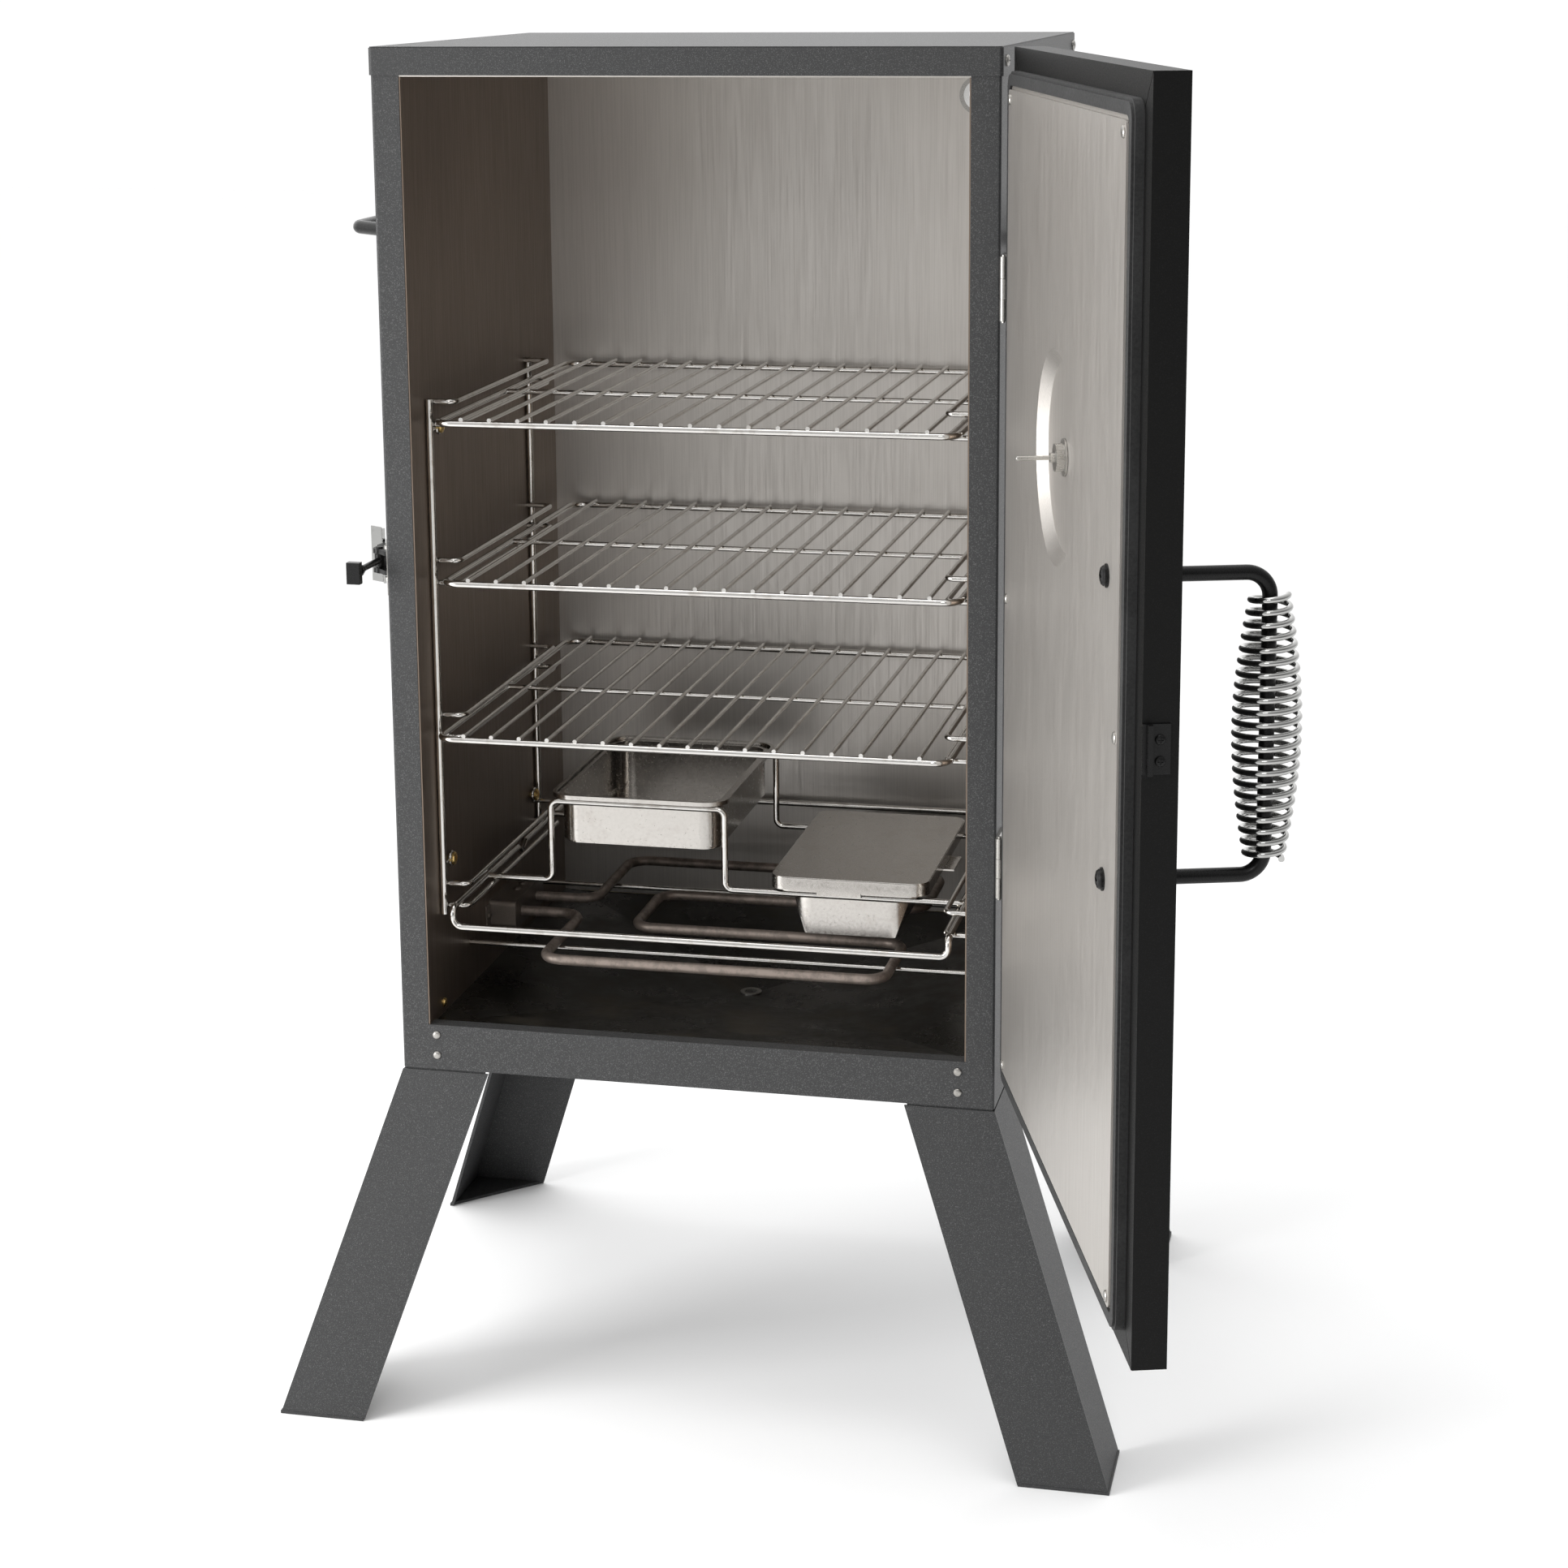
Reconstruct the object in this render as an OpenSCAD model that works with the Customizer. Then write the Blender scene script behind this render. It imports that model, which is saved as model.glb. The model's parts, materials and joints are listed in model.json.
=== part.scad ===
// Electric cabinet smoker on splayed legs. Millimetres.
// The front of the cabinet faces -Y and the door swings on the right-hand side.

/* [Cabinet] */
// Outside width of the cabinet
cabinet_w = 452; // [448:2:470]
// Outside depth of the cabinet
cabinet_d = 385; // [384:1:400]
// Height from the underside of the cabinet to the top of its cap
cabinet_h = 762; // [756:2:790]
// Thickness of the insulated walls
wall_t = 22; // [21:0.5:23]
// Thickness of the outer sheet
skin_t = 1.2; // [1:0.1:1.4]
// Depth of the rim of the top cap
cap_rim = 20; // [18:1:22]
// Height of the rail under the door opening
rail_h = 35; // [33:1:36]

/* [Legs] */
// Height of the legs
leg_h = 272; // [240:4:300]
// Width of each plate of a leg
leg_plate = 67; // [60:1:70]
// How far a foot stands out to the side
splay_x = 93; // [60:1:100]
// How far a foot stands out to the front or back
splay_y = 45; // [30:1:55]

/* [Door] */
// Opening angle the door is drawn at
door_open = 107.5; // [60:0.5:150]
// Thickness of the door shell
door_t = 21; // [19:0.5:23]
// Depth of the pressed door liner
liner_raise = 7.8; // [7:0.1:8]
// Height of the middle of the thermometer
gauge_z = 516; // [500:2:540]
// Radius of the pressed dish behind the thermometer
dish_r = 68; // [56:1:72]
// Length of the door handle between its arms
handle_l = 180; // [170:2:200]
// Distance of the handle from the door
handle_out = 66; // [55:1:75]

/* [Racks] */
// Width of a rack between the middles of its side wires
rack_w = 384; // [376:1:386]
// Depth of a rack between the middles of its end wires
rack_l = 340; // [330:1:344]
// Number of bars across a rack
rack_bars = 17; // [13:2:19]
// Heights of the four pairs of rails
rail_levels = [118, 250, 368, 487];

/* [Latch] */
// How far the lever is drawn from its flat position
lever_open = 14; // [12:0.5:20]

/* [Hidden] */
$fn = 48;

paint = [0.30, 0.30, 0.30];
steel = [0.66, 0.65, 0.63];
chrome = [0.80, 0.80, 0.80];
brass = [0.78, 0.62, 0.30];
black = [0.08, 0.08, 0.08];
wool = [0.78, 0.74, 0.62];

// gap between parts that move past each other
gap = 0.3;
sheet_t = 1;
overhang = 1.2;
post_w = wall_t - sheet_t;
post_lip = 14;
rail_lip = 12;
panel_top = cabinet_h - skin_t;
roof_z = cabinet_h - cap_rim - sheet_t;
in_x0 = wall_t;
in_x1 = cabinet_w - wall_t;
in_y1 = cabinet_d - wall_t - 2;
mid_x = cabinet_w / 2;
mid_y = cabinet_d / 2;
floor_drop = 25;
floor_z = rail_h - 2;
drain_r = 5;
vent_pos = [mid_x + 154, roof_z - 28];
vent_r = 13;

// door, closed: x from the free edge to the hinged edge, y from the inner face outwards
hinge_x = cabinet_w + 3;
hinge_y = -3;
door_x0 = -5;
door_x1 = cabinet_w - 1;
door_y0 = -8.5;
door_y1 = door_y0 - door_t;
door_z0 = 19.5;
door_z1 = cabinet_h;
liner_x0 = door_x0 + 29;
liner_x1 = door_x1 - 22;
liner_z0 = 41;
liner_z1 = cabinet_h - 25;
liner_y = door_y0 + liner_raise;
gauge_x = door_x1 - 215;
gauge_r = 46;
handle_x = door_x1 - 389;
handle_z = 296;
handle_r = 4.5;
spring_r0 = 10.5;
spring_bulge = 8.5;
spring_wire = 1.5;
spring_turns = 22;
strike_z = 391;
hinge_levels = [cabinet_h - 186, 162];
hinge_tall = 44;
knuckle_r = 2.9;
pin_r = 1.5;

// latch, seen from above: fixed pivot, and the bolt's pivot with the lever flat
latch_z = 385;
pivot = [-6, 22];
bolt_pivot = [-14, 34];
bolt_lean = -1.4;
wing = [[-13.2, 49], [-11.2, 49], [-12.6, 55], [-21.8, 63.4], [-23, 61.8], [-14.6, 54]];
bolt_l = 48.5;
bolt_from = pivot + [
    (bolt_pivot - pivot)[0] * cos(lever_open) - (bolt_pivot - pivot)[1] * sin(lever_open),
    (bolt_pivot - pivot)[0] * sin(lever_open) + (bolt_pivot - pivot)[1] * cos(lever_open)
];

// tray frame and what stands in it
wire_r = 2.5;
rail_r = 2;
rail_gap = 17;
rail_x = 43;
rail_y0 = 34;
rail_y1 = 280;
post_x = in_x0 + 2.6;
post_z0 = rail_levels[0] - 6;
post_z1 = rail_levels[3] + rail_gap + 2;
frame_z = rail_levels[0] + rail_r + gap + wire_r;
cradle_y0 = 101;
cradle_y1 = 281;
cradle_z = 186;
pan_y0 = 96;
pan_y1 = 286;
bowl_x = mid_x - 67;
bowl_w = 140;
chips_x = mid_x + 98.5;
lid_w = 122;
element_z = 74.2;
element_y = 187;
bracket_l = 22;

// place of the cabinet's front left corner, so that the middle of the whole object's footprint is
// the origin
grip_r = spring_r0 + spring_bulge + spring_wire;
grip_rel = [handle_x - hinge_x, door_y1 - handle_out - hinge_y];
reach_x1 = hinge_x + grip_rel[0] * cos(door_open) - grip_rel[1] * sin(door_open) + grip_r;
free_rel = [door_x0 - hinge_x, door_y0 - hinge_y];
reach_y0 = hinge_y + free_rel[0] * sin(door_open) + free_rel[1] * cos(door_open);
origin_x = (reach_x1 - splay_x) / 2;
origin_y = (reach_y0 + cabinet_d + splay_y) / 2;

// middle of each eyelet, and the post it is bent from
eyelets = [
    [rail_y0 + 20, post_z1 - 23, rail_y0],
    [rail_y0 + 20, post_z0 + 38, rail_y0],
    [rail_y1 - 12, post_z0 + 30, rail_y1]
];

function unit(v) = v / norm(v);
function turn(a, b) = acos(max(-1, min(1, unit(a) * unit(b))));

module cab() {
    translate([-origin_x, -origin_y, leg_h])
        children();
}

module swung() {
    cab()
        translate([hinge_x, hinge_y, 0])
            rotate([0, 0, door_open])
                translate([-hinge_x, -hinge_y, 0])
                    children();
}

module other_side() {
    translate([cabinet_w, 0, 0])
        mirror([1, 0, 0])
            children();
}

module box(a, b) {
    translate(a)
        cube(b - a);
}

// round rod between two points
module rod(a, b, r) {
    d = b - a;
    translate(a)
        rotate([0, acos(d[2] / norm(d)), atan2(d[1], d[0])])
            cylinder(r = r, h = norm(d));
}

// bend of a round wire from direction d0 to direction d1 round the corner at
module elbow(at, d0, d1, bend, r) {
    t = turn(d0, d1);
    w = unit(cross(d0, d1));
    e = cross(w, d0);
    c = at - d0 * bend * tan(t / 2) + e * bend;
    multmatrix([
        [-e[0], d0[0], w[0], c[0]],
        [-e[1], d0[1], w[1], c[1]],
        [-e[2], d0[2], w[2], c[2]],
        [0, 0, 0, 1]
    ])
        rotate_extrude(angle = t)
            translate([bend, 0])
                circle(r = r);
}

// round wire through the points, with rounded corners
module bent_wire(pts, bend, r, closed = false) {
    n = len(pts);
    runs = closed ? n : n - 1;
    first = closed ? 0 : 1;
    last = closed ? n - 1 : n - 2;
    function p(i) = pts[(i + n) % n];
    function trim(i) = !closed && (i == 0 || i == n - 1) ? 0
        : bend * tan(turn(p(i) - p(i - 1), p(i + 1) - p(i)) / 2);
    for (i = [0:runs - 1]) {
        d = unit(p(i + 1) - p(i));
        rod(p(i) + d * trim(i), p(i + 1) - d * trim((i + 1) % n), r);
    }
    for (i = [first:last])
        elbow(p(i), unit(p(i) - p(i - 1)), unit(p(i + 1) - p(i)), bend, r);
}

module round_rect(w, h, r) {
    square([w - 2 * r, h], center = true);
    square([w, h - 2 * r], center = true);
    for (x = [-1, 1], y = [-1, 1])
        translate([x * (w / 2 - r), y * (h / 2 - r)])
            circle(r = r);
}

module dome(r, h) {
    rotate_extrude()
        polygon([
            [0, 0],
            [r, 0],
            [r, h * 0.4],
            [r * 0.84, h * 0.75],
            [r * 0.5, h * 0.95],
            [0, h]
        ]);
}

module screw_head(r, h) {
    difference() {
        dome(r, h);
        for (a = [0, 90])
            rotate([0, 0, a])
                translate([0, 0, h])
                    cube([r * 1.1, r * 0.24, h * 0.8], center = true);
    }
}

// children stand at the point and grow the named way: left, right, front or back
module facing(at, way) {
    turns = way == "left" ? [0, -90, 0]
        : way == "right" ? [0, 90, 0]
        : way == "front" ? [90, 0, 0]
        : [-90, 0, 0];
    translate(at)
        rotate(turns)
            children();
}

// ---- cabinet ----

module side_panel() {
    linear_extrude(panel_top)
        intersection() {
            union() {
                square([skin_t, cabinet_d]);
                square([post_w, skin_t]);
                translate([post_w - skin_t, 0])
                    square([skin_t, post_lip]);
            }
            translate([mid_x, mid_y])
                round_rect(cabinet_w, cabinet_d, 2);
        }
}

module side_panel_left() {
    color(paint)
        cab()
            side_panel();
}

module side_panel_right() {
    color(paint)
        cab()
            other_side()
                side_panel();
}

module back_panel() {
    color(paint)
        cab()
            difference() {
                box([skin_t, cabinet_d - skin_t, 0], [cabinet_w - skin_t, cabinet_d, panel_top]);
                facing([vent_pos[0], cabinet_d - 5, vent_pos[1]], "back")
                    cylinder(r = vent_r + 1, h = 10);
            }
}

module bottom_plate() {
    color(paint)
        cab()
            difference() {
                box([skin_t, skin_t, 0], [cabinet_w - skin_t, cabinet_d - skin_t, skin_t]);
                for (x = [post_w - skin_t, cabinet_w - post_w])
                    box([x - 0.1, 0, -1], [x + skin_t + 0.1, post_lip + 0.1, skin_t + 1]);
                translate([mid_x, mid_y, -1])
                    cylinder(r = drain_r + 2, h = 4);
            }
}

module top_cap() {
    crown = 0.8;
    color(paint)
        cab()
            translate([mid_x, mid_y, cabinet_h - cap_rim])
                difference() {
                    union() {
                        linear_extrude(cap_rim - crown)
                            round_rect(cabinet_w + 2 * overhang, cabinet_d + 2 * overhang, 3);
                        linear_extrude(cap_rim)
                            round_rect(cabinet_w + 2 * overhang - 2 * crown,
                                       cabinet_d + 2 * overhang - 2 * crown, 2);
                    }
                    translate([0, 0, -1])
                        linear_extrude(cap_rim - skin_t + 1)
                            round_rect(cabinet_w, cabinet_d, 2);
                }
}

module front_rail() {
    hem = 10;
    color(paint)
        cab() {
            box([post_w, 0, 0], [cabinet_w - post_w, skin_t, rail_h]);
            box([post_w, 0, rail_h - skin_t], [cabinet_w - post_w, rail_lip, rail_h]);
            box([post_w, rail_lip - skin_t, rail_h - hem],
                [cabinet_w - post_w, rail_lip, rail_h]);
        }
}

// screws of the cap, rivets of the rail and bolts of the legs
module cabinet_fixings() {
    cap_z = cabinet_h - cap_rim / 2;
    inset = post_w + 6;
    bolt_at = [[14, 36], [36, 14]];
    color(steel)
        cab() {
            for (y = [14, cabinet_d - 14]) {
                facing([-overhang, y, cap_z], "left")
                    screw_head(4, 2.4);
                facing([cabinet_w + overhang, y, cap_z], "right")
                    screw_head(4, 2.4);
            }
            for (x = [inset, cabinet_w - inset], z = [11, 27])
                facing([x, 0, z], "front")
                    dome(3, 1.6);
            for (at = bolt_at, x = [at[0], cabinet_w - at[0]], y = [at[1], cabinet_d - at[1]])
                translate([x, y, -7])
                    cylinder(r = 5, h = 4.5, $fn = 6);
        }
}

module wall_insulation() {
    clear = 0.5;
    lip = 16;
    color(wool)
        cab()
            difference() {
                box([skin_t + clear, lip, skin_t + clear],
                    [cabinet_w - skin_t - clear, cabinet_d - skin_t - clear, panel_top - clear]);
                box([post_w - clear, lip - 1, skin_t - 1],
                    [cabinet_w - post_w + clear, in_y1 + sheet_t + clear, roof_z + sheet_t + clear]);
                facing([vent_pos[0], in_y1 - 1, vent_pos[1]], "back")
                    cylinder(r = vent_r + 2, h = wall_t + 5);
                facing([post_w + 1, element_y, element_z], "left")
                    cylinder(r = 14, h = wall_t + 2);
            }
}

module liner_side() {
    difference() {
        box([post_w, 0.5, floor_z - 1], [wall_t, in_y1 + sheet_t, roof_z]);
        box([post_w - 1, 0, 0], [wall_t + 1, rail_lip, rail_h]);
        for (y = [cradle_y0 - 1, cradle_y1 - 16])
            facing([post_w - 1, y, element_z - 6.2], "right")
                cylinder(r = rail_r + 0.3, h = 4);
    }
}

module liner_left() {
    color(steel)
        cab()
            liner_side();
}

module liner_right() {
    color(steel)
        cab()
            other_side()
                liner_side();
}

module liner_back() {
    color(steel)
        cab()
            difference() {
                box([wall_t, in_y1, floor_z - 1], [in_x1, in_y1 + sheet_t, roof_z]);
                facing([vent_pos[0], in_y1 - 2, vent_pos[1]], "back")
                    cylinder(r = vent_r + 0.2, h = 6);
            }
}

module liner_top() {
    color(steel)
        cab()
            box([post_w, 0.5, roof_z], [cabinet_w - post_w, in_y1 + sheet_t, roof_z + sheet_t]);
}

// space above four planes that slope down to the drain
module funnel(drop) {
    tall = 60;
    half_x = mid_x - in_x0;
    half_y = mid_y - rail_lip;
    long = 2 * half_x;
    translate([mid_x, mid_y, floor_z - floor_drop - drop])
        intersection_for (a = [0:3])
            rotate([0, 0, 90 * a])
                rotate([0, -atan(floor_drop / (a % 2 == 0 ? half_x : half_y)), 0])
                    translate([-long, -long, 0])
                        cube([2 * long, 2 * long, tall]);
}

module floor_pan() {
    color([0.12, 0.12, 0.11])
        cab()
            difference() {
                intersection() {
                    box([in_x0, rail_lip, 0], [in_x1, in_y1, floor_z]);
                    funnel(sheet_t);
                }
                funnel(0);
                translate([mid_x, mid_y, 0])
                    cylinder(r = drain_r + 1, h = floor_z);
            }
}

module drain_spout() {
    lip = 2.5;
    z = floor_z - floor_drop;
    color(steel)
        cab()
            translate([mid_x, mid_y, 0])
                rotate_extrude()
                    polygon([
                        [drain_r, -14],
                        [drain_r + 1, -14],
                        [drain_r + 1, z + 0.95],
                        [drain_r + 1 + lip, z + 1.3],
                        [drain_r + 1 + lip, z + 2.1],
                        [drain_r, z + 1.9]
                    ]);
}

module vent_sleeve() {
    color(steel)
        cab()
            facing([vent_pos[0], in_y1 - 1, vent_pos[1]], "back")
                difference() {
                    union() {
                        cylinder(r = vent_r, h = cabinet_d - in_y1 + 4);
                        translate([0, 0, cabinet_d - in_y1 + 1])
                            cylinder(r = vent_r + 6, h = 1.5);
                        cylinder(r = vent_r + 2.5, h = 1);
                    }
                    translate([0, 0, -1])
                        cylinder(r = vent_r - 1, h = cabinet_d);
                }
}

// ---- legs ----

module leg() {
    t = 2.5;
    lap = 1.2;
    proud = 0.3;
    seam = 1.5;
    drop = leg_h - 1;
    run_x = splay_x * drop / leg_h;
    run_y = splay_y * drop / leg_h;
    long_x = norm([drop, run_x]);
    long_y = norm([drop, run_y]);
    rotate([90 - atan(splay_y / leg_h), 0, 0])
        translate([0, 0, -t])
            linear_extrude(t)
                polygon([
                    [-run_x * seam / long_y, -seam],
                    [leg_plate - run_x * seam / long_y, -seam],
                    [leg_plate - run_x, -long_y],
                    [-run_x, -long_y]
                ]);
    rotate([0, atan(splay_x / leg_h), 0])
        rotate([90, 0, 90])
            translate([0, 0, proud])
                linear_extrude(t)
                    polygon([
                        [lap - run_y * seam / long_x, -seam],
                        [leg_plate - run_y * seam / long_x, -seam],
                        [leg_plate - run_y, -long_x],
                        [lap - run_y, -long_x]
                    ]);
    translate([lap, lap, -t])
        linear_extrude(t)
            polygon([[0, 0], [leg_plate - 3 * lap, 0], [0, leg_plate - 3 * lap]]);
    translate([-splay_x, -splay_y, -leg_h])
        linear_extrude(t)
            polygon([[0, 0], [leg_plate, 0], [0, leg_plate]]);
}

module leg_front_left() {
    color(paint)
        cab()
            leg();
}

module leg_front_right() {
    color(paint)
        cab()
            other_side()
                leg();
}

module to_back() {
    translate([0, cabinet_d, 0])
        mirror([0, 1, 0])
            children();
}

module leg_back_left() {
    color(paint)
        cab()
            to_back()
                leg();
}

module leg_back_right() {
    color(paint)
        cab()
            to_back()
                other_side()
                    leg();
}

// ---- inside of the cabinet ----

module both_sides() {
    children();
    other_side()
        children();
}

module eyelet(y, z, from_y) {
    ring = 4.6;
    side = from_y < y ? -1 : 1;
    rod([post_x, from_y, z], [post_x, y + side * ring, z], 1.4);
    facing([post_x, y, z], "right")
        rotate_extrude($fn = 32)
            translate([ring, 0])
                circle(r = 1.5, $fn = 24);
}

module rack_posts() {
    color(chrome)
        cab()
            both_sides() {
                for (y = [rail_y0, rail_y1])
                    rod([post_x, y, post_z0], [post_x, y, post_z1], wire_r);
                for (at = eyelets)
                    eyelet(at[0], at[1], at[2]);
            }
}

module liner_screws() {
    color(brass)
        cab()
            both_sides() {
                for (at = eyelets)
                    facing([in_x0, at[0], at[1]], "right") {
                        cylinder(r = 2.4, h = 5);
                        translate([0, 0, 4.2])
                            screw_head(5, 2.4);
                    }
                facing([in_x0, rail_y0, rail_h + 6], "right")
                    dome(3.5, 2);
            }
}

module rack_rails() {
    weld = wire_r + rail_r;
    for (level = rail_levels, up = [0, rail_gap])
        bent_wire([
            [in_x0 + 0.2, rail_y0 + weld, level + up],
            [rail_x, rail_y0 + weld, level + up],
            [rail_x, rail_y1 - weld, level + up],
            [in_x0 + 0.2, rail_y1 - weld, level + up]
        ], 6, rail_r);
}

module rack_rails_left() {
    color(chrome)
        cab()
            rack_rails();
}

module rack_rails_right() {
    color(chrome)
        cab()
            other_side()
                rack_rails();
}

module element_supports() {
    color(chrome)
        cab()
            for (y = [cradle_y0 - 1, cradle_y1 - 16])
                rod([post_w + 0.3, y, element_z - 6.2],
                    [cabinet_w - post_w - 0.3, y, element_z - 6.2], rail_r);
}

module heating_element() {
    out = 133;
    lead = 20;
    inner = 44;
    x0 = in_x0 + bracket_l;
    color([0.45, 0.42, 0.40])
        cab()
            translate([0, element_y, element_z])
                bent_wire([
                    [x0, -lead, 0],
                    [mid_x - 132, -lead, 0],
                    [mid_x - 132, -out, 0],
                    [mid_x + 134, -out, 0],
                    [mid_x + 134, -inner, 0],
                    [mid_x - 83, -inner, 0],
                    [mid_x - 83, inner, 0],
                    [mid_x + 134, inner, 0],
                    [mid_x + 134, out, 0],
                    [mid_x - 132, out, 0],
                    [mid_x - 132, lead, 0],
                    [x0, lead, 0]
                ], 16, 4);
}

module element_bracket() {
    half = 38;
    color([0.42, 0.40, 0.37])
        cab() {
            translate([in_x0, element_y, element_z + 1])
                rotate([90, 0, 90])
                    difference() {
                        linear_extrude(bracket_l)
                            round_rect(2 * half, 23, 4);
                        translate([0, 0, -1])
                            linear_extrude(bracket_l - 0.5)
                                round_rect(2 * half - 3, 20, 3);
                    }
            box([in_x0, element_y - half - 9, element_z - 8],
                [in_x0 + 1.2, element_y + half + 9, element_z + 10]);
        }
    color(brass)
        cab() {
            for (y = [-4, 11])
                translate([in_x0 + 13, element_y + y, element_z + 12.4])
                    screw_head(3.4, 2);
            for (y = [-half - 4.5, half + 4.5])
                facing([in_x0 + 1, element_y + y, element_z + 1], "right")
                    screw_head(3, 1.8);
        }
}

module power_inlet() {
    out = 18;
    color(black)
        cab()
            translate([0, element_y, element_z])
                rotate([90, 0, -90]) {
                    linear_extrude(2)
                        round_rect(72, 44, 6);
                    difference() {
                        linear_extrude(out)
                            round_rect(46, 30, 8);
                        translate([0, 0, 2])
                            linear_extrude(out)
                                round_rect(42, 26, 6);
                    }
                    for (x = [-30, 30])
                        translate([x, 0, 2])
                            screw_head(3, 1.8);
                }
}

module inlet_pins() {
    color(steel)
        cab()
            for (y = [-11, 0, 11])
                facing([-2, element_y + y, element_z + (y == 0 ? 5 : -3)], "left") {
                    cylinder(r = 2.2, h = 13);
                    translate([0, 0, 12.5])
                        dome(2.2, 1.6);
                }
}

// ---- racks and trays ----

module rack(level, aside) {
    z = level + rail_r + gap + wire_r;
    y0 = 12;
    half = rack_w / 2;
    pitch = (rack_w - 41) / (rack_bars - 1);
    color(chrome)
        cab()
            translate([mid_x + aside, y0, z]) {
                bent_wire([
                    [-half, 0, 0],
                    [half, 0, 0],
                    [half, rack_l, 0],
                    [-half, rack_l, 0]
                ], 12, wire_r, true);
                for (i = [0:rack_bars - 1]) {
                    x = (i - (rack_bars - 1) / 2) * pitch;
                    rod([x, -1.5, 3.2], [x, rack_l + 1.5, 3.2], 1.6);
                }
                rod([-half, rack_l / 2, 0], [half, rack_l / 2, 0], 2);
            }
}

module rack_upper() {
    rack(rail_levels[3], 2);
}

module rack_middle() {
    rack(rail_levels[2], 4);
}

module rack_lower() {
    rack(rail_levels[1], -3);
}

module tray_frame() {
    x0 = 37;
    x1 = cabinet_w - x0;
    y0 = 17;
    y1 = 350;
    dip = 15;
    kink_y = 190;
    kink = [
        [x0, kink_y - 10, frame_z],
        [x0, kink_y, frame_z - 6],
        [x0, kink_y + 10, frame_z]
    ];
    color(chrome)
        cab() {
            bent_wire([
                kink[2],
                [x0, y1, frame_z],
                [x1, y1, frame_z],
                [x1, y0, frame_z],
                [x1, y0, frame_z - dip],
                [x0, y0, frame_z - dip],
                [x0, y0, frame_z],
                kink[0]
            ], 7, wire_r);
            rod(kink[0], kink[1], wire_r);
            rod(kink[1], kink[2], wire_r);
            for (p = kink)
                translate(p)
                    sphere(r = wire_r + 0.12);
        }
}

module tray_cradle() {
    x0 = 37;
    half = 69;
    color(chrome)
        cab()
            for (y = [cradle_y0, cradle_y1])
                bent_wire([
                    [x0, y, frame_z],
                    [bowl_x - half, y, frame_z],
                    [bowl_x - half, y, cradle_z],
                    [bowl_x + half, y, cradle_z],
                    [bowl_x + half, y, frame_z],
                    [cabinet_w - x0, y, frame_z]
                ], 6, wire_r);
}

module water_bowl() {
    z0 = 152;
    rim_z = cradle_z + wire_r + gap;
    brim = 6.5;
    long = pan_y1 - pan_y0;
    body_w = bowl_w - 2 * brim;
    body_l = cradle_y1 - cradle_y0 - 2 * wire_r - 2;
    color(steel)
        cab()
            translate([bowl_x, (pan_y0 + pan_y1) / 2, z0])
                difference() {
                    union() {
                        translate([0, 0, 2])
                            linear_extrude(rim_z - z0)
                                round_rect(body_w, body_l, 15);
                        linear_extrude(3)
                            round_rect(body_w - 4, body_l - 4, 13);
                        translate([0, 0, rim_z - z0])
                            linear_extrude(3.2)
                                round_rect(bowl_w, long, 18);
                    }
                    translate([0, 0, 3])
                        linear_extrude(60)
                            round_rect(body_w - 2, body_l - 2, 14);
                    translate([0, 0, 1])
                        linear_extrude(3)
                            round_rect(body_w - 6, body_l - 6, 12);
                    translate([0, 0, rim_z - z0 + 1.2])
                        linear_extrude(1.1)
                            round_rect(bowl_w - 3, long - 3, 16.5);
                    translate([0, 0, rim_z - z0 + 1.2])
                        linear_extrude(4)
                            round_rect(bowl_w - 6, long - 6, 15);
                }
}

// tapering trough with rounded ends
module trough(foot, top, long, tall, r) {
    intersection() {
        translate([0, long / 2, 0])
            rotate([90, 0, 0])
                linear_extrude(long)
                    polygon([
                        [-foot / 2, 0],
                        [foot / 2, 0],
                        [top / 2, tall],
                        [-top / 2, tall]
                    ]);
        linear_extrude(tall)
            round_rect(top, long, r);
    }
}

module chip_tray() {
    z0 = 91;
    rim_z = frame_z + wire_r + gap;
    deep = rim_z - z0;
    top = 95;
    foot = 70;
    corner = 17;
    long = cradle_y1 - cradle_y0 - 2 * wire_r - 2;
    rim_l = pan_y1 - pan_y0 - 3;
    rim_w = lid_w - 8;
    color(steel)
        cab()
            translate([chips_x, (pan_y0 + pan_y1) / 2, z0]) {
                difference() {
                    trough(foot, top, long, deep + 1.2, corner);
                    translate([0, 0, 1])
                        trough(foot - 2, top - 2, long - 2, deep + 1.2, corner - 1);
                }
                difference() {
                    translate([0, 0, deep])
                        linear_extrude(1.2)
                            round_rect(rim_w, rim_l, 12);
                    translate([0, 0, deep - 1])
                        linear_extrude(4)
                            round_rect(top - 2, long - 2, corner - 1);
                }
                translate([rim_w / 2 - 2, -18, deep])
                    cube([14, 36, 1.2]);
            }
}

module chip_tray_lid() {
    rim_z = frame_z + wire_r + gap;
    z0 = rim_z + 1.2 + gap;
    tall = 10;
    crown = 0.6;
    long = pan_y1 - pan_y0;
    tab = 34;
    color(steel)
        cab()
            translate([chips_x, (pan_y0 + pan_y1) / 2, z0]) {
                difference() {
                    union() {
                        linear_extrude(tall - crown)
                            round_rect(lid_w, long, 12);
                        linear_extrude(tall)
                            round_rect(lid_w - 2 * crown, long - 2 * crown, 12 - crown);
                    }
                    translate([0, 0, -1])
                        linear_extrude(tall)
                            round_rect(lid_w - 2, long - 2, 11);
                }
                translate([-tab / 2 - 7, -long / 2, -3.5])
                    cube([tab, 1, 4.5]);
            }
}

// ---- door ----

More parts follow.
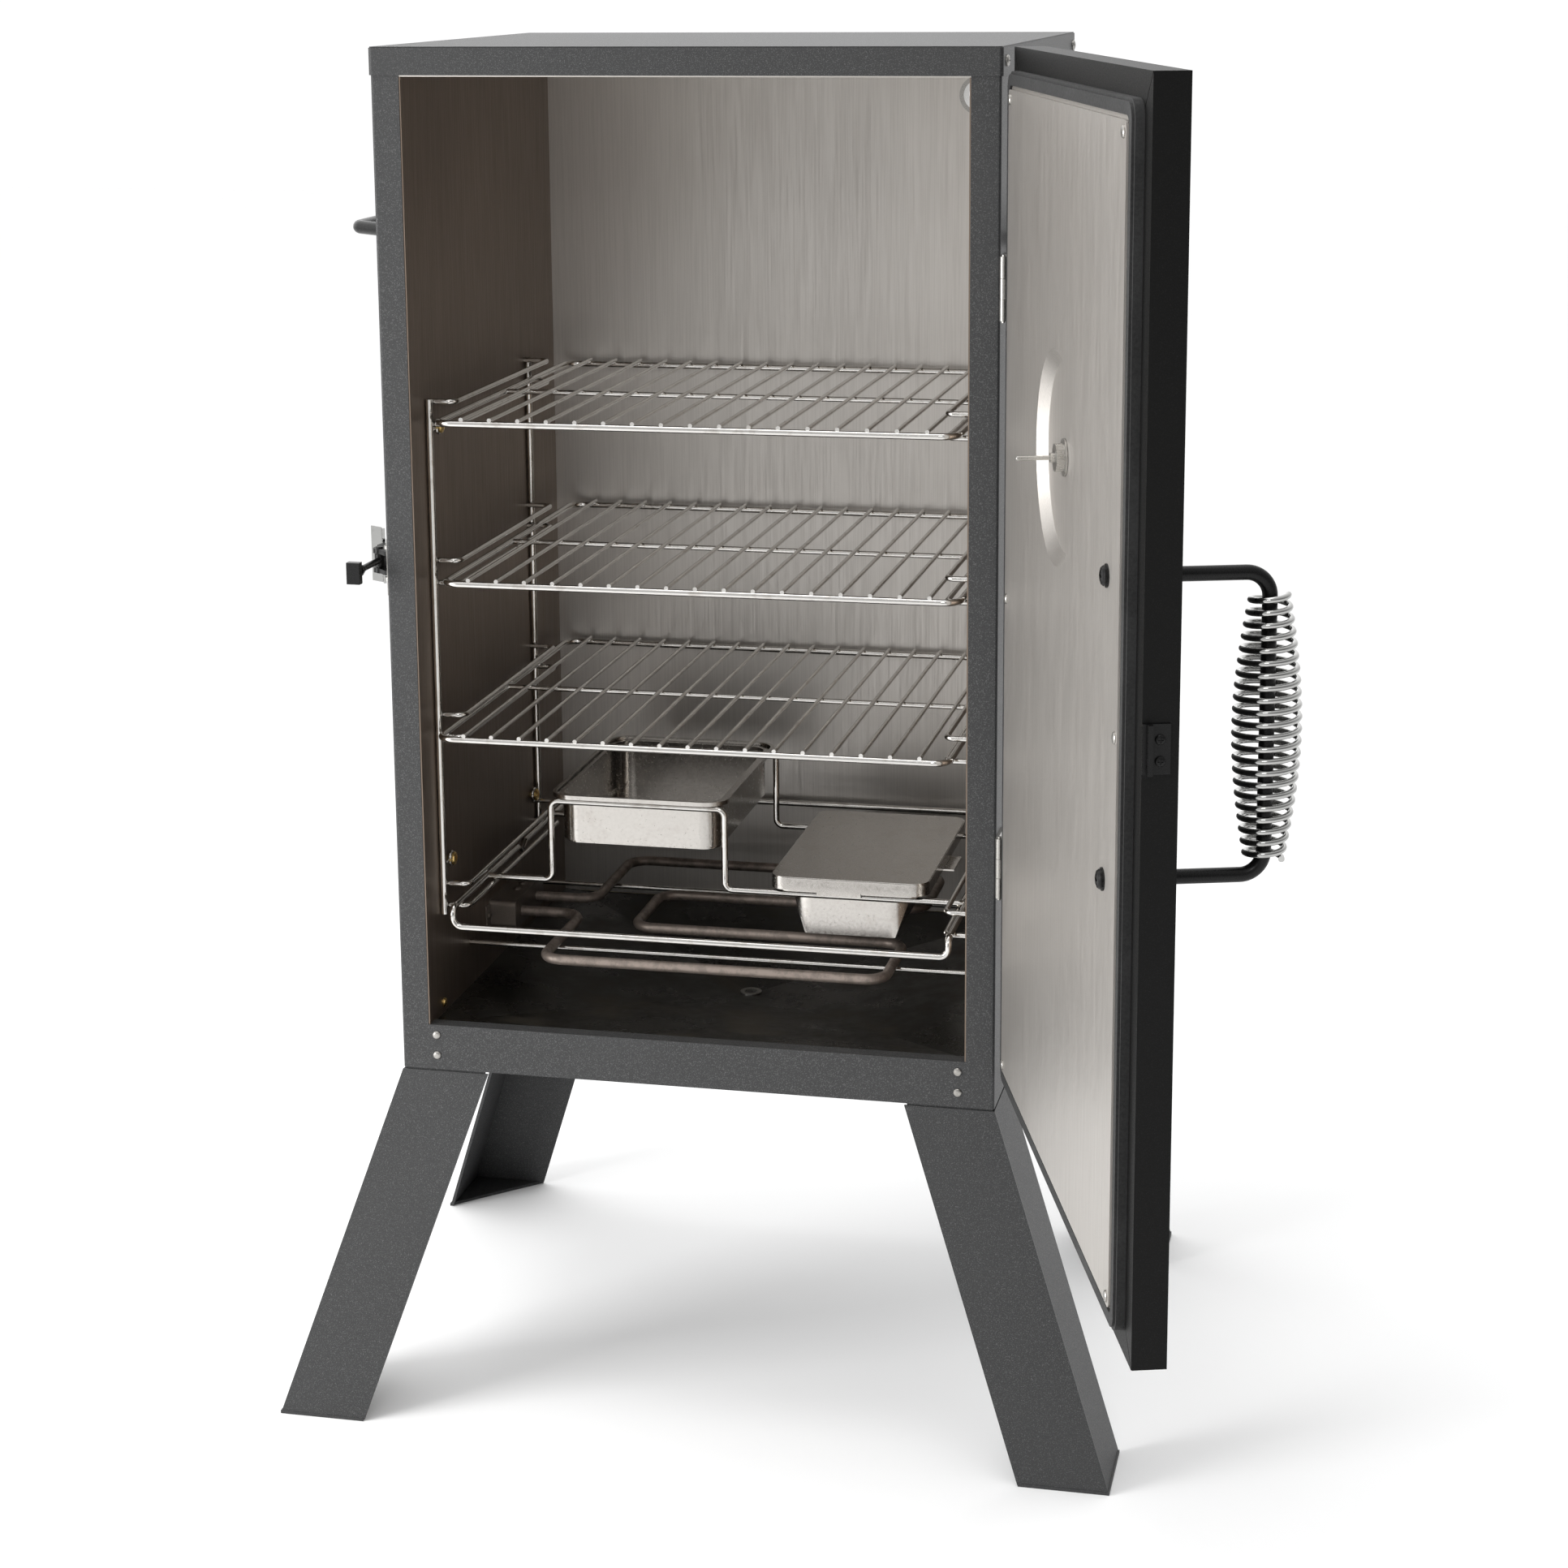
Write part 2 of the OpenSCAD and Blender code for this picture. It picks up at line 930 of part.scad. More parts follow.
module door_shell() {
    flange = 34;
    color(paint)
        swung()
            difference() {
                box([door_x0, door_y1, door_z0], [door_x1, door_y0, door_z1]);
                box([door_x0 + skin_t, door_y1 + skin_t, door_z0 + skin_t],
                    [door_x1 - skin_t, door_y0 - skin_t, door_z1 - skin_t]);
                box([door_x0 + flange, door_y0 - 3, door_z0 + flange],
                    [door_x1 - flange, door_y0 + 3, door_z1 - flange]);
                for (x = [0, 1], z = [0, 1])
                    translate([x == 0 ? door_x0 : door_x1, door_y0, z == 0 ? door_z0 : door_z1])
                        rotate([0, x == z ? 45 : -45, 0])
                            cube([0.8, 0.8, 60], center = true);
                facing([gauge_x, door_y1 - 1, gauge_z], "back")
                    cylinder(r = 4, h = 4);
            }
}

module door_liner() {
    press = liner_raise - 1.4;
    edge = 2.5;
    color(steel)
        swung()
            difference() {
                union() {
                    difference() {
                        translate([(liner_x0 + liner_x1) / 2, door_y0, (liner_z0 + liner_z1) / 2])
                            rotate([-90, 0, 0]) {
                                linear_extrude(liner_raise - edge)
                                    round_rect(liner_x1 - liner_x0, liner_z1 - liner_z0, 6);
                                linear_extrude(liner_raise)
                                    round_rect(liner_x1 - liner_x0 - 2 * edge,
                                               liner_z1 - liner_z0 - 2 * edge, 4);
                            }
                        box([liner_x0 + 3.5, door_y0 - 1, liner_z0 + 3.5],
                            [liner_x1 - 3.5, liner_y - sheet_t, liner_z1 - 3.5]);
                        facing([gauge_x, liner_y + 0.01, gauge_z], "front")
                            cylinder(r1 = dish_r, r2 = dish_r - 8, h = press);
                    }
                    facing([gauge_x, liner_y, gauge_z], "front")
                        rotate_extrude()
                            polygon([
                                [0, press],
                                [dish_r - 8, press],
                                [dish_r, 0],
                                [dish_r + 1, 0],
                                [dish_r - 7.4, press + 1],
                                [0, press + 1]
                            ]);
                }
                facing([gauge_x, door_y0 - 1, gauge_z], "back")
                    cylinder(r = 3.4, h = 12);
            }
}

module door_insulation() {
    clear = 0.5;
    color(wool)
        swung()
            difference() {
                box([door_x0 + skin_t + clear, door_y1 + skin_t + clear, door_z0 + skin_t + clear],
                    [door_x1 - skin_t - clear, door_y0 - skin_t - clear,
                     door_z1 - skin_t - clear]);
                facing([gauge_x, door_y1, gauge_z], "back")
                    cylinder(r = 5, h = door_t);
            }
}

module door_gasket() {
    wide = 9.5;
    tall = -door_y0 - overhang - gap;
    clear = 0.4;
    color(black)
        swung()
            translate([(liner_x0 + liner_x1) / 2, door_y0, (liner_z0 + liner_z1) / 2])
                rotate([-90, 0, 0])
                    difference() {
                        union() {
                            linear_extrude(tall - 1.6)
                                round_rect(liner_x1 - liner_x0 + 2 * wide,
                                           liner_z1 - liner_z0 + 2 * wide, 12);
                            linear_extrude(tall)
                                round_rect(liner_x1 - liner_x0 + 2 * wide - 4,
                                           liner_z1 - liner_z0 + 2 * wide - 4, 10);
                        }
                        translate([0, 0, -1])
                            linear_extrude(12)
                                round_rect(liner_x1 - liner_x0 + clear,
                                           liner_z1 - liner_z0 + clear, 6.2);
                    }
}

module liner_rivets() {
    color(steel)
        swung()
            for (x = [liner_x0 + 9, liner_x1 - 9], z = [liner_z0 + 8, strike_z - 3, liner_z1 - 9])
                facing([x, liner_y, z], "back")
                    dome(3.6, 1.6);
}

// screws of the door handle and of the strike
module handle_screws() {
    color(black)
        swung() {
            for (z = [handle_z, handle_z + handle_l])
                facing([handle_x, liner_y, z], "back") {
                    cylinder(r = 7, h = 1);
                    translate([0, 0, 0.9])
                        screw_head(6, 3.4);
                }
            for (z = [strike_z - 6.8, strike_z + 5.6])
                facing([door_x0 - 1.4, door_y0 - 10, z], "left")
                    screw_head(3, 1.8);
        }
}

module handle_rod() {
    y = door_y1 - handle_out;
    color(black)
        swung() {
            bent_wire([
                [handle_x, door_y1, handle_z],
                [handle_x, y, handle_z],
                [handle_x, y, handle_z + handle_l],
                [handle_x, door_y1, handle_z + handle_l]
            ], 14, handle_r);
            for (z = [handle_z, handle_z + handle_l])
                facing([handle_x, door_y1, z], "front")
                    cylinder(r = 8, h = 3);
        }
}

module handle_spring() {
    pitch = (handle_l - 14) / spring_turns;
    open = 24;
    function coil_r(i) = spring_r0 + spring_bulge * sin(180 * i / (spring_turns - 1));
    function at(i, a) = [coil_r(i) * cos(a), coil_r(i) * sin(a), i * pitch];
    color(chrome)
        swung()
            translate([handle_x, door_y1 - handle_out, handle_z + 9]) {
                for (i = [0:spring_turns - 1])
                    translate([0, 0, i * pitch])
                        rotate([0, 0, open / 2])
                            rotate_extrude(angle = 360 - open)
                                translate([coil_r(i), 0])
                                    circle(r = spring_wire);
                for (i = [0:spring_turns - 2])
                    rod(at(i, -open / 2 - 2), at(i + 1, open / 2 + 2), spring_wire);
            }
}

// ---- thermometer ----

module gauge() {
    swung()
        facing([gauge_x, door_y1, gauge_z], "front")
            children();
}

module gauge_case() {
    color(chrome)
        gauge()
            rotate_extrude()
                polygon([
                    [3.2, 0],
                    [gauge_r - 4, 0],
                    [gauge_r, 3],
                    [gauge_r, 11],
                    [gauge_r - 1.5, 12.5],
                    [gauge_r - 4, 12.5],
                    [gauge_r - 4, 11.3],
                    [gauge_r - 2.5, 11.3],
                    [gauge_r - 2.5, 2],
                    [3.2, 2]
                ]);
}

module gauge_dial() {
    color([0.93, 0.92, 0.88])
        gauge() {
            translate([0, 0, 2])
                cylinder(r = gauge_r - 2.7, h = 4);
            translate([0, 0, 2])
                cylinder(r = 1, h = 6.4);
        }
}

module gauge_marks() {
    color(black)
        gauge()
            for (i = [0:24]) {
                long = i % 4 == 0 ? 8 : 4.5;
                wide = i % 4 == 0 ? 1.4 : 0.7;
                rotate([0, 0, 225 - i * 270 / 24])
                    translate([gauge_r - 5 - long, -wide / 2, 6])
                        cube([long, wide, 0.25]);
            }
}

module gauge_needle() {
    color([0.75, 0.12, 0.08])
        gauge()
            translate([0, 0, 6.6])
                rotate([0, 0, 225])
                    difference() {
                        union() {
                            linear_extrude(0.8)
                                polygon([[-9, -1.6], [-9, 1.6], [31, 0.4], [31, -0.4]]);
                            cylinder(r = 3.2, h = 1.5);
                        }
                        translate([0, 0, -1])
                            cylinder(r = 1.05, h = 4);
                    }
}

module gauge_glass() {
    color([0.85, 0.9, 0.92, 0.3])
        gauge()
            translate([0, 0, 9.5])
                cylinder(r = gauge_r - 2.7, h = 1.6);
}

// threaded stem and the probe that senses the heat
module gauge_stem() {
    thread_l = 33.9;
    back_z = 1.9;
    color(steel)
        gauge() {
            translate([0, 0, back_z - thread_l])
                cylinder(r = 3, h = thread_l);
            translate([0, 0, back_z - thread_l - 20])
                cylinder(r = 1.5, h = 20.5);
            translate([0, 0, back_z - thread_l - 20])
                sphere(r = 1.5, $fn = 24);
        }
}

module gauge_nut() {
    color([0.35, 0.33, 0.31])
        gauge()
            translate([0, 0, -29])
                difference() {
                    union() {
                        cylinder(r = 9, h = 5.4);
                        translate([0, 0, 5.4])
                            cylinder(r = 12, h = 0.9);
                    }
                    for (a = [0:19])
                        rotate([0, 0, 18 * a])
                            translate([9.5, 0, -1])
                                cylinder(r = 1, h = 5.8);
                    translate([0, 0, -1])
                        cylinder(r = 3, h = 9);
                }
}

// ---- hinges, strike and latch ----

module strike_bracket() {
    half = 14.5;
    color(black)
        swung() {
            box([door_x0 - 1.4, door_y0 - 16, strike_z - half],
                [door_x0, door_y0, strike_z + half]);
            box([-10.5, door_y0 - 5.3, strike_z - half],
                [door_x0, door_y0 - 2.6, strike_z + half]);
        }
}

module hinge_leaves() {
    third = hinge_tall / 3;
    color(steel)
        cab()
            for (z = hinge_levels) {
                box([cabinet_w, 0.5, z], [cabinet_w + 1.8, 26, z + hinge_tall]);
                for (up = [0, 2 * third]) {
                    box([cabinet_w + 0.3, hinge_y, z + up], [cabinet_w + 1.8, 1, z + up + third]);
                    translate([hinge_x, hinge_y, z + up])
                        cylinder(r = knuckle_r, h = third);
                }
                translate([hinge_x, hinge_y, z - 1.4])
                    cylinder(r = pin_r, h = hinge_tall + 2.8);
                for (up = [8, 22, 36])
                    facing([cabinet_w + 1.7, 14, z + up], "right")
                        screw_head(3.2, 1.7);
            }
}

module door_hinge_leaves() {
    third = hinge_tall / 3;
    color(steel)
        swung()
            for (z = hinge_levels) {
                box([door_x1, door_y1 + 1, z + 1], [door_x1 + 1.6, door_y0 - 0.5,
                     z + hinge_tall - 1]);
                difference() {
                    union() {
                        box([door_x1, door_y0 - 1, z + third + gap],
                            [door_x1 + 1.6, hinge_y, z + 2 * third - gap]);
                        translate([hinge_x, hinge_y, z + third + gap])
                            cylinder(r = knuckle_r, h = third - 2 * gap);
                    }
                    translate([hinge_x, hinge_y, z])
                        cylinder(r = pin_r + 0.05, h = hinge_tall);
                }
                for (up = [8, 22, 36])
                    facing([door_x1 + 1.5, door_y0 - 11, z + up], "right")
                        screw_head(3.2, 1.2);
            }
}

module latch_base() {
    ear_r = 3.5;
    color(steel)
        cab() {
            box([-1.8, 5, latch_z - 21], [0, 47, latch_z + 21]);
            for (z = [latch_z - 13, latch_z + 10.6])
                translate([0, 0, z])
                    linear_extrude(2.4) {
                        translate(pivot)
                            circle(r = ear_r);
                        translate([pivot[0], pivot[1] - ear_r])
                            square([-pivot[0], 2 * ear_r]);
                    }
            translate([pivot[0], pivot[1], latch_z - 14])
                cylinder(r = 2, h = 28);
            for (y = [11, 41], z = [latch_z - 15, latch_z + 15])
                facing([-1.7, y, z], "left")
                    screw_head(3, 1.8);
        }
}

module lever_turned() {
    cab()
        translate([pivot[0], pivot[1], latch_z])
            rotate([0, 0, lever_open])
                translate([-pivot[0], -pivot[1], 0])
                    children();
}

module latch_lever() {
    half = 9;
    cheek = 3.4;
    color(black)
        lever_turned() {
            difference() {
                union() {
                    for (z = [-half, half - cheek])
                        translate([0, 0, z])
                            linear_extrude(cheek) {
                                translate(pivot)
                                    circle(r = 3.8);
                                translate(bolt_pivot)
                                    circle(r = 5);
                                polygon([
                                    [-9.4, 20.2],
                                    [-2.7, 24],
                                    [-8, 50],
                                    [-14, 52],
                                    [-18.6, 36]
                                ]);
                            }
                    translate([0, 0, -half])
                        linear_extrude(2 * half)
                            polygon([[-8.5, 44], [-8, 50], [-14, 54], [-17, 46]]);
                }
                translate([pivot[0], pivot[1], -20])
                    cylinder(r = 2.05, h = 40);
                translate([0, 0, -half - 1])
                    linear_extrude(2 * half + 2)
                        polygon(wing);
            }
            translate([bolt_pivot[0], bolt_pivot[1], -half - 1])
                cylinder(r = 2.5, h = 2 * half + 2);
        }
}

module latch_wing() {
    color(chrome)
        lever_turned()
            translate([0, 0, -21])
                linear_extrude(42)
                    polygon(wing);
}

module latch_bolt() {
    eye_r = 4;
    head = [10, 6, 16];
    color(black)
        cab()
            translate([bolt_from[0], bolt_from[1], latch_z])
                rotate([0, 0, bolt_lean]) {
                    difference() {
                        translate([0, 0, -4.5])
                            cylinder(r = eye_r, h = 9);
                        translate([0, 0, -6])
                            cylinder(r = 2.55, h = 12);
                    }
                    rod([0, -3.4, 0], [0, -bolt_l - 1, 0], 2.4);
                    translate([-head[0] / 2, -bolt_l - head[1], -head[2] / 2])
                        cube(head);
                    facing([0, -bolt_l + 9, 0], "front")
                        cylinder(r = 4.4, h = 3.4, $fn = 6);
                }
}

module side_handle() {
    z = 627;
    out = 45;
    root = 3.2;
    y0 = 55;
    y1 = 329;
    slant = (out - root) * 3 / 4;
    bent_wire([
        [-root, y0, z],
        [-out, y0 + slant, z],
        [-out, y1 - slant, z],
        [-root, y1, z]
    ], 12, 5);
    for (y = [y0, y1]) {
        translate([0, y, z])
            rotate([90, 0, -90])
                linear_extrude(2)
                    round_rect(26, 36, 4);
        for (up = [-12, 12])
            facing([-1.9, y, z + up], "left")
                screw_head(3, 1.8);
    }
}

module side_handle_left() {
    color(black)
        cab()
            side_handle();
}

module side_handle_right() {
    color(black)
        cab()
            other_side()
                side_handle();
}

side_panel_left();
side_panel_right();
back_panel();
bottom_plate();
top_cap();
front_rail();
cabinet_fixings();
wall_insulation();
liner_left();
liner_right();
liner_back();
liner_top();
floor_pan();
drain_spout();
vent_sleeve();
leg_front_left();
leg_front_right();
leg_back_left();
leg_back_right();
rack_posts();
rack_rails_left();
rack_rails_right();
liner_screws();
element_supports();
heating_element();
element_bracket();
power_inlet();
inlet_pins();
rack_upper();
rack_middle();
rack_lower();
tray_frame();
tray_cradle();
water_bowl();
chip_tray();
chip_tray_lid();
door_shell();
door_liner();
door_insulation();
door_gasket();
liner_rivets();
handle_screws();
handle_rod();
handle_spring();
gauge_case();
gauge_dial();
gauge_marks();
gauge_needle();
gauge_glass();
gauge_stem();
gauge_nut();
strike_bracket();
hinge_leaves();
door_hinge_leaves();
latch_base();
latch_lever();
latch_wing();
latch_bolt();
side_handle_left();
side_handle_right();
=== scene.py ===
import json
import math

import bpy
from mathutils import Matrix, Vector


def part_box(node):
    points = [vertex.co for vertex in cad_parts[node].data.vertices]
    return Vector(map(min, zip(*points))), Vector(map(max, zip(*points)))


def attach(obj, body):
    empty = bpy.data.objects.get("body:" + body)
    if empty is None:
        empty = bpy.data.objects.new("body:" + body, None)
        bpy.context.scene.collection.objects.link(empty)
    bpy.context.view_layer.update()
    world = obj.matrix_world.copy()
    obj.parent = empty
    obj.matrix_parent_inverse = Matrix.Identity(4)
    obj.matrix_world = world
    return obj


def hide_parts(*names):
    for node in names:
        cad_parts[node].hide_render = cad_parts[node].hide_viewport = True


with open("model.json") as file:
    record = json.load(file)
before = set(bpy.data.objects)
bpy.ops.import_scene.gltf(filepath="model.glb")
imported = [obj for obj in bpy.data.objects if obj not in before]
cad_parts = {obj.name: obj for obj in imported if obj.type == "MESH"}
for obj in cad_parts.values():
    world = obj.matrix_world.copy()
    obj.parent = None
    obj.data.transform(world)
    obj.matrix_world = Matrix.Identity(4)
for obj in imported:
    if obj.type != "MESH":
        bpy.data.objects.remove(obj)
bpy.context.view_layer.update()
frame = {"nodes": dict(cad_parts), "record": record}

# ---------------------------------------------------------------- values
# The camera, fitted to the straight edges of the cabinet and its open door
CAMERA_AT = Vector((0.4686, -2.0850, 1.0950))
YAW, PITCH, ROLL = (math.radians(a) for a in (12.54, -11.79, -0.41))
LENS = 70.42
SENSOR = 36
SHIFT_Y = -0.12

# The wire grip of the door handle: turns, wire radius, radius at its ends
GRIP_TURNS = 22
GRIP_WIRE_R = 0.0019
GRIP_END_R = 0.0105
GRIP_STEPS_PER_TURN = 40

# The studio: its light grows along SKY_SLOPE round SKY_LEVEL, and shows as SKY_SHOWN
SKY_SLOPE = (-0.56, 0.42, 0.35)
SKY_LEVEL = 0.85
SKY_SHOWN = 1.05
FLOOR_HALF = 12
# Each lamp: place, target, size, watts
LAMPS = {
    "key": ((-1.55, -1.05, 0.75), (-0.3, 0, 0.25), (0.8, 1.0), 28),
    "inside": ((0.15, -2.4, 2.0), (-0.1, 0.2, 0.85), (0.6, 0.6), 7),
    "top": ((-0.2, 0.0, 3.2), (0, 0, 0.55), (1.4, 1.4), 20),
}


# ---------------------------------------------------------------- camera
def make_camera():
    right = Vector((math.cos(YAW), math.sin(YAW), 0))
    ahead = Vector((-math.sin(YAW) * math.cos(PITCH), math.cos(YAW) * math.cos(PITCH), math.sin(PITCH)))
    up = right.cross(ahead)
    x = right * math.cos(ROLL) + up * math.sin(ROLL)
    y = up * math.cos(ROLL) - right * math.sin(ROLL)
    data = bpy.data.cameras.new("camera")
    data.lens = LENS
    data.sensor_width = SENSOR
    data.shift_y = SHIFT_Y
    data.clip_end = 50
    cam = bpy.data.objects.new("camera", data)
    cam.matrix_world = Matrix.Translation(CAMERA_AT) @ Matrix((x, y, -ahead)).transposed().to_4x4()
    bpy.context.scene.collection.objects.link(cam)
    bpy.context.scene.camera = cam


# ---------------------------------------------------------------- material helpers
class Look:
    """A node material built round one Principled shader."""

    def __init__(self, name, color, metallic=0.0, rough=0.5, **sockets):
        self.mat = bpy.data.materials.new(name)
        self.mat.use_nodes = True
        self.tree = self.mat.node_tree
        self.bsdf = self.tree.nodes["Principled BSDF"]
        self.set("Base Color", (*color, 1))
        self.set("Metallic", metallic)
        self.set("Roughness", rough)
        for key, value in sockets.items():
            self.set(key.replace("_", " "), value)
        self.coords = self.tree.nodes.new("ShaderNodeTexCoord").outputs["Object"]
        self.color = None
        self.bump = None

    def set(self, socket, value):
        self.bsdf.inputs[socket].default_value = value

    def node(self, kind, **props):
        n = self.tree.nodes.new(kind)
        for key, value in props.items():
            setattr(n, key, value)
        return n

    def join(self, a, b):
        self.tree.links.new(a, b)

    def mapped(self, scale):
        m = self.node("ShaderNodeMapping")
        m.inputs["Scale"].default_value = scale
        self.join(self.coords, m.inputs["Vector"])
        return m.outputs["Vector"]

    def noise(self, scale, detail=4.0, rough=0.55, stretch=(1, 1, 1)):
        n = self.node("ShaderNodeTexNoise")
        n.inputs["Scale"].default_value = scale
        n.inputs["Detail"].default_value = detail
        n.inputs["Roughness"].default_value = rough
        self.join(self.mapped(stretch), n.inputs["Vector"])
        return n.outputs["Fac"]

    def cells(self, scale):
        n = self.node("ShaderNodeTexVoronoi", feature="SMOOTH_F1")
        n.inputs["Scale"].default_value = scale
        self.join(self.coords, n.inputs["Vector"])
        return n.outputs["Distance"]

    def ramp(self, value, lo, hi, out_lo=0.0, out_hi=1.0):
        n = self.node("ShaderNodeMapRange", interpolation_type="SMOOTHSTEP")
        n.inputs["From Min"].default_value = lo
        n.inputs["From Max"].default_value = hi
        n.inputs["To Min"].default_value = out_lo
        n.inputs["To Max"].default_value = out_hi
        self.join(value, n.inputs["Value"])
        return n.outputs["Result"]

    def tint(self, mask, color, amount=1.0):
        """Mixes a colour in where mask is 1."""
        n = self.node("ShaderNodeMix", data_type="RGBA")
        if amount < 1:
            mask = self.ramp(mask, 0, 1, 0, amount)
        self.join(mask, n.inputs["Factor"])
        if self.color is None:
            n.inputs["A"].default_value = self.bsdf.inputs["Base Color"].default_value
        else:
            self.join(self.color, n.inputs["A"])
        n.inputs["B"].default_value = (*color, 1)
        self.color = n.outputs["Result"]
        self.join(self.color, self.bsdf.inputs["Base Color"])
        return self

    def roughness(self, value, lo, hi, out_lo, out_hi):
        self.join(self.ramp(value, lo, hi, out_lo, out_hi), self.bsdf.inputs["Roughness"])
        return self

    def relief(self, height, strength, distance):
        n = self.node("ShaderNodeBump")
        n.inputs["Strength"].default_value = strength
        n.inputs["Distance"].default_value = distance
        self.join(height, n.inputs["Height"])
        if self.bump is not None:
            self.join(self.bump, n.inputs["Normal"])
        self.bump = n.outputs["Normal"]
        self.join(self.bump, self.bsdf.inputs["Normal"])
        return self


def enamel(name, base, fleck, rough=0.42, gloss=0.2):
    """Sprayed enamel: a fine fleck, faint unevenness and a slight orange peel."""
    m = Look(name, base, rough=rough, Specular_IOR_Level=gloss)
    flecks = m.noise(1500, 2, 0.6)
    peel = m.cells(650)
    clouds = m.noise(6, 3)
    m.tint(m.ramp(flecks, 0.5, 0.72), fleck, amount=0.75)
    m.tint(m.ramp(clouds, 0.4, 0.75), tuple(c * 1.25 for c in base), amount=0.3)
    m.roughness(flecks, 0.3, 0.8, rough + 0.06, rough - 0.08)
    m.relief(peel, 0.12, 0.0002)
    m.relief(flecks, 0.12, 0.0002)
    return m.mat


def brushed(name, base, stain, grain=(1, 1, 0.012), rough=0.34, stained=0.3):
    """Rolled or brushed sheet: fine lines along the grain, with smoke stains."""
    m = Look(name, base, metallic=0.9, rough=rough)
    lines = m.noise(1400, 2, 0.6, grain)
    wide = m.noise(220, 2, 0.5, grain)
    smoke = m.noise(2.2, 2, 0.45)
    m.tint(m.ramp(lines, 0.35, 0.7), tuple(c * 0.7 for c in base), amount=0.22)
    m.tint(m.ramp(wide, 0.4, 0.7), tuple(c * 0.8 for c in base), amount=0.12)
    m.tint(m.ramp(smoke, 0.4, 0.8), stain, amount=stained)
    m.roughness(lines, 0.3, 0.7, rough - 0.04, rough + 0.08)
    m.relief(lines, 0.08, 0.0001)
    return m.mat


def plated(name, base, dull, rough=0.16, dulled=0.5):
    """Smooth bright metal with duller spots and a thin film."""
    m = Look(name, base, metallic=1.0, rough=rough)
    spots = m.noise(60, 5, 0.65)
    film = m.noise(420, 4, 0.6)
    m.tint(m.ramp(spots, 0.48, 0.7), dull, amount=dulled)
    m.roughness(film, 0.3, 0.75, rough - 0.04, rough + 0.09)
    m.relief(film, 0.015, 0.0001)
    return m.mat


def moulded(name, base, rough=0.5, coarse=900):
    """Plastic, rubber or print with a fine grain."""
    m = Look(name, base, rough=rough)
    grain = m.noise(coarse, 4, 0.65)
    clouds = m.noise(25, 3)
    m.tint(m.ramp(clouds, 0.4, 0.75), tuple(min(1, c * 1.6 + 0.01) for c in base), amount=0.5)
    m.roughness(grain, 0.3, 0.75, rough - 0.08, rough + 0.15)
    m.relief(grain, 0.18, 0.0003)
    return m.mat


def floor_enamel(name):
    m = Look(name, (0.012, 0.0115, 0.0095), metallic=0.3, rough=0.32)
    grease = m.noise(14, 6, 0.65)
    grit = m.noise(700, 3, 0.7)
    m.tint(m.ramp(grease, 0.45, 0.7), (0.045, 0.038, 0.028), amount=0.8)
    m.roughness(grease, 0.35, 0.7, 0.22, 0.55)
    m.relief(grit, 0.2, 0.0003)
    return m.mat


def element_tube(name):
    m = Look(name, (0.27, 0.225, 0.195), metallic=0.6, rough=0.45)
    scale = m.noise(90, 5, 0.7)
    grit = m.noise(1400, 3, 0.7)
    m.tint(m.ramp(scale, 0.4, 0.65), (0.14, 0.115, 0.10), amount=0.6)
    m.tint(m.ramp(grit, 0.6, 0.75), (0.36, 0.30, 0.26), amount=0.25)
    m.roughness(scale, 0.3, 0.7, 0.36, 0.55)
    m.relief(grit, 0.12, 0.0002)
    return m.mat


def wool(name):
    m = Look(name, (0.62, 0.56, 0.42), rough=0.95)
    fibres = m.noise(500, 6, 0.75, (1, 1, 0.2))
    clumps = m.noise(60, 4, 0.6)
    m.tint(m.ramp(fibres, 0.45, 0.7), (0.36, 0.31, 0.2), amount=0.7)
    m.relief(clumps, 0.6, 0.004)
    m.relief(fibres, 0.5, 0.001)
    return m.mat


def glass(name):
    m = Look(name, (0.95, 0.98, 0.98), rough=0.03, Transmission_Weight=1.0, IOR=1.45)
    smear = m.noise(18, 4, 0.6)
    m.roughness(smear, 0.4, 0.75, 0.02, 0.14)
    return m.mat


